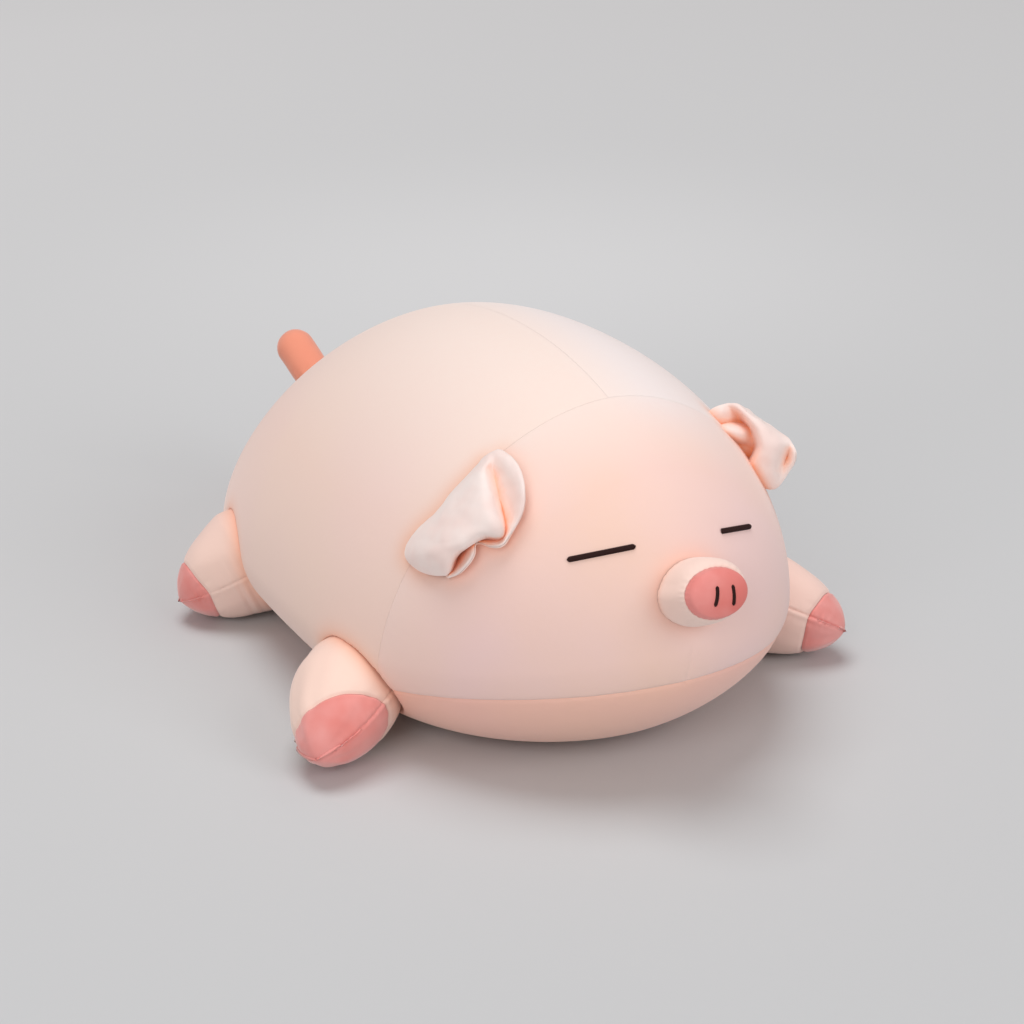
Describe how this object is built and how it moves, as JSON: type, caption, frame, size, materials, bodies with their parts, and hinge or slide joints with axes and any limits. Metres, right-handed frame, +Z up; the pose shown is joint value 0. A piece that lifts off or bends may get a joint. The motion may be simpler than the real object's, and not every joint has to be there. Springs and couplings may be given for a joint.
{
  "type": "plush pig",
  "caption": "Lying plush pig with a sewn stuffed body, stuffed legs, folded ears, puffed snout and stuffed tail.",
  "frame": {"origin": "the point of the flat belly on the floor that lies under the body's widest section", "axes": "+Z up, -Y the way the pig looks, -X its right side"},
  "size_m": [0.3, 0.4564, 0.1818],
  "materials": {
    "cover": "peach cream stretch fabric",
    "belly": "peach stretch fabric",
    "hoof": "rose velvet",
    "ear": "pale pink velvet",
    "tail": "coral fabric",
    "thread": "dark brown satin stitch",
    "stuffing": "loose polyester fibre"
  },
  "bodies": {
    "body": {"body_stuffing": "stuffing", "face_panel": "cover", "back_panel_right": "cover", "back_panel_left": "cover", "belly_panel": "belly", "snout_gusset": "cover", "snout_disc": "hoof", "snout_stuffing": "stuffing", "nostril_right": "thread", "nostril_left": "thread", "eye_right": "thread", "eye_left": "thread"},
    "front_right_leg": {"front_right_leg_sleeve_upper": "cover", "front_right_hoof_upper": "hoof", "front_right_leg_sleeve_lower": "cover", "front_right_hoof_lower": "hoof", "front_right_leg_stuffing": "stuffing"},
    "front_left_leg": {"front_left_leg_sleeve_upper": "cover", "front_left_hoof_upper": "hoof", "front_left_leg_sleeve_lower": "cover", "front_left_hoof_lower": "hoof", "front_left_leg_stuffing": "stuffing"},
    "hind_right_leg": {"hind_right_leg_sleeve_upper": "cover", "hind_right_hoof_upper": "hoof", "hind_right_leg_sleeve_lower": "cover", "hind_right_hoof_lower": "hoof", "hind_right_leg_stuffing": "stuffing"},
    "hind_left_leg": {"hind_left_leg_sleeve_upper": "cover", "hind_left_hoof_upper": "hoof", "hind_left_leg_sleeve_lower": "cover", "hind_left_hoof_lower": "hoof", "hind_left_leg_stuffing": "stuffing"},
    "right_ear": {"ear_right_inner": "ear", "ear_right_outer": "ear"},
    "left_ear": {"ear_left_inner": "ear", "ear_left_outer": "ear"},
    "tail": {"tail_cover": "tail", "tail_stuffing": "stuffing"}
  },
  "joints": [
    {"name": "front_right_leg_swing", "type": "hinge", "parent": "body", "child": "front_right_leg", "pos_m": [-0.11065, -0.029, 0.0285], "axis": [0, 0, 1], "range_deg": [-18, 18], "stiffness_Nm_per_rad": 0.05},
    {"name": "front_left_leg_swing", "type": "hinge", "parent": "body", "child": "front_left_leg", "pos_m": [0.11065, -0.029, 0.0285], "axis": [0, 0, 1], "range_deg": [-18, 18], "stiffness_Nm_per_rad": 0.05},
    {"name": "hind_right_leg_swing", "type": "hinge", "parent": "body", "child": "hind_right_leg", "pos_m": [-0.09963, 0.13, 0.0285], "axis": [0, 0, 1], "range_deg": [-18, 18], "stiffness_Nm_per_rad": 0.05},
    {"name": "hind_left_leg_swing", "type": "hinge", "parent": "body", "child": "hind_left_leg", "pos_m": [0.09963, 0.13, 0.0285], "axis": [0, 0, 1], "range_deg": [-18, 18], "stiffness_Nm_per_rad": 0.05},
    {"name": "right_ear_lift", "type": "hinge", "parent": "body", "child": "right_ear", "pos_m": [-0.07952, -0.07286, 0.1311], "axis": [-0.643, 0.1458, -0.7519], "range_deg": [0, 45], "stiffness_Nm_per_rad": 0.02},
    {"name": "left_ear_lift", "type": "hinge", "parent": "body", "child": "left_ear", "pos_m": [0.07952, -0.07286, 0.1311], "axis": [-0.643, -0.1458, 0.7519], "range_deg": [0, 45], "stiffness_Nm_per_rad": 0.02},
    {"name": "tail_wag", "type": "hinge", "parent": "body", "child": "tail", "pos_m": [0, 0.22797, 0.06759], "axis": [0, 0, 1], "range_deg": [-20, 20], "stiffness_Nm_per_rad": 0.02}
  ]
}
